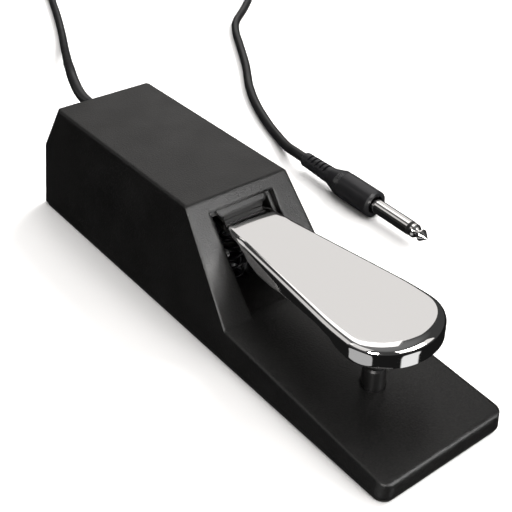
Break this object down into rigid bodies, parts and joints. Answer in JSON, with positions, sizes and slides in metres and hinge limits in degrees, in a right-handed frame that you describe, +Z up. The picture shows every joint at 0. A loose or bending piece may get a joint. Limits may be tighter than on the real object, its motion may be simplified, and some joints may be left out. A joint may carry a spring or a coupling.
{
  "type": "sustain pedal",
  "caption": "Compact keyboard sustain pedal: black moulded housing with a deck and tower, chromed lever on a sprung hinge, snap switch and a thin cable with a 6.35 mm jack plug.",
  "frame": {"origin": "centre of the housing's underside, on the floor", "axes": "+X to the player's right, +Y from the toe to the cable end, +Z up"},
  "size_m": [0.2408, 0.4684, 0.048],
  "materials": {
    "abs_black": "fine moulded grain",
    "sole_rubber": "matt",
    "pad_rubber": "matt",
    "post_rubber": "satin",
    "zinc_steel": "zinc plated",
    "screw_steel": "zinc plated",
    "spring_steel": "blackened",
    "chrome": "mirror",
    "nylon": "natural",
    "switch_black": "satin",
    "button_red": "satin",
    "brass": "tinned edge",
    "wire_red": "satin",
    "wire_white": "satin",
    "cable_pvc": "satin",
    "plug_pvc": "satin",
    "tie_black": "satin",
    "nickel": "bright nickel"
  },
  "bodies": {
    "base": {"housing": "abs_black", "sole": "sole_rubber", "base_plate": "zinc_steel", "base_screws": "screw_steel", "stop_bar": "abs_black", "up_stop_pad": "pad_rubber", "mouth_screws": "screw_steel", "toe_post": "post_rubber", "yoke": "zinc_steel", "yoke_screws": "screw_steel", "axle": "screw_steel", "axle_clips": "spring_steel", "spring": "spring_steel", "spring_seat": "switch_black", "switch_body": "switch_black", "switch_terminals": "brass", "switch_bracket": "zinc_steel", "switch_screws": "screw_steel", "bracket_screws": "screw_steel", "lead_live": "wire_red", "lead_return": "wire_white", "grommet": "post_rubber", "cable_collar": "zinc_steel", "cable_housing_end": "cable_pvc", "cable_coil": "cable_pvc", "coil_tie": "tie_black", "cable_plug_end": "cable_pvc", "plug_boot": "plug_pvc", "plug_barrel": "plug_pvc", "plug_sleeve": "nickel", "plug_insulator": "tie_black", "plug_tip": "nickel"},
    "lever": {"pedal": "chrome", "bush_left": "nylon", "bush_right": "nylon", "spring_cup": "zinc_steel", "toe_pad": "pad_rubber"},
    "button": {"switch_button": "button_red"}
  },
  "joints": [
    {"name": "lever_hinge", "type": "hinge", "parent": "base", "child": "lever", "pos_m": [0, 0.022, 0.031], "axis": [1, 0, 0], "range_deg": [0, 10.5], "stiffness_Nm_per_rad": 3, "springref_deg": -8.59, "deforming": ["spring"]},
    {"name": "button_slide", "type": "slide", "parent": "base", "child": "button", "axis": [0, 0, 1], "range_m": [0, 0.0012], "stiffness_N_per_m": 200, "springref_m": 0.002}
  ],
  "couplings": [
    {"joint": "button_slide", "follows": "lever_hinge", "m_per_rad": 0.0065}
  ]
}
